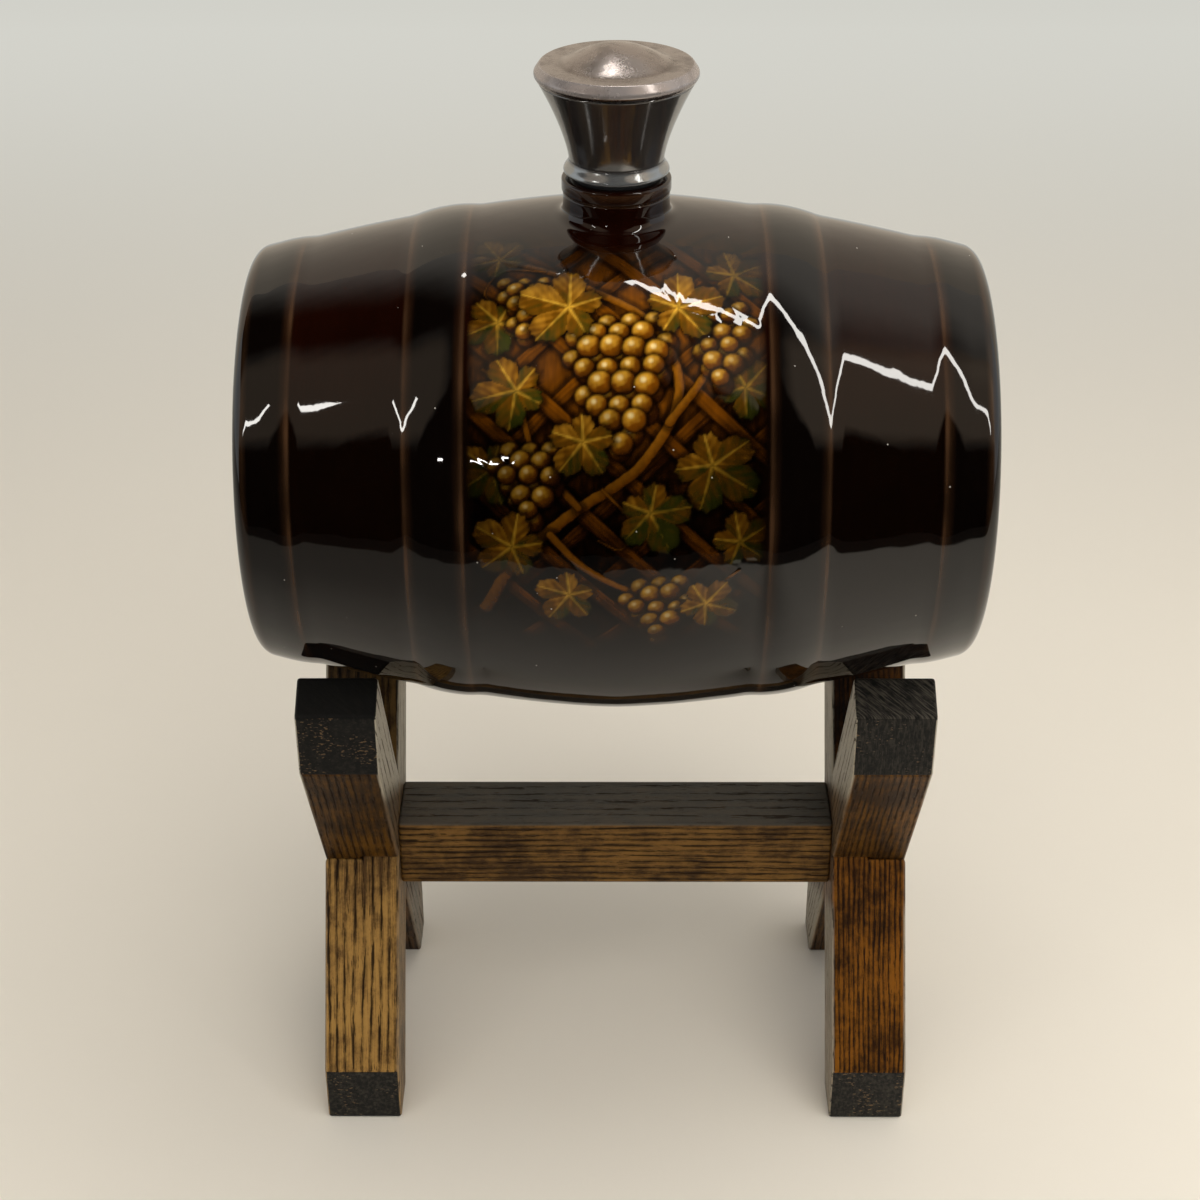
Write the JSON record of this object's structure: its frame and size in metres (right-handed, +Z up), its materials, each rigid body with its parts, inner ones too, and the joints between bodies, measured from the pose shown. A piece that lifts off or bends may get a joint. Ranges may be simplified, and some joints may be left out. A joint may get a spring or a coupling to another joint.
{
  "type": "ceramic spirit barrel on stand",
  "caption": "Glazed ceramic spirit barrel with raised hoops and a metal-topped cork stopper, lying on an oak cross-leg stand with a stretcher.",
  "frame": {"origin": "on the surface under the feet, midway between the feet", "axes": "+X along the barrel to its right end, -Y the front, +Z up"},
  "size_m": [0.165, 0.12, 0.2704],
  "materials": {
    "glazed_barrel": "gloss treacle-brown glaze",
    "silver_plate": "worn silver plate",
    "dark_silver": "tarnished silver plate",
    "cork": "plain cork",
    "stem_brass": "dull brass",
    "oak": "stained oak, satin lacquer, black end cuts",
    "oak_rail": "dark stained oak, satin lacquer",
    "dowel_wood": "plain beech"
  },
  "bodies": {
    "stand": {"left_leg_front_foot": "oak", "left_leg_back_foot": "oak", "right_leg_front_foot": "oak", "right_leg_back_foot": "oak", "stretcher": "oak_rail", "left_dowel": "dowel_wood", "right_dowel": "dowel_wood"},
    "barrel": {"barrel": "glazed_barrel"},
    "stopper": {"stopper_cap": "silver_plate", "stopper_flare": "dark_silver", "stopper_base": "silver_plate", "cork": "cork", "cork_stem": "stem_brass", "cork_washer": "stem_brass", "stem_nut": "stem_brass"}
  },
  "joints": [
    {"name": "barrel_lift", "type": "slide", "parent": "stand", "child": "barrel", "axis": [0, 0, 1], "range_m": [0, 0.08]},
    {"name": "stopper_lift", "type": "slide", "parent": "barrel", "child": "stopper", "axis": [0, 0, 1], "range_m": [0, 0.05]}
  ]
}
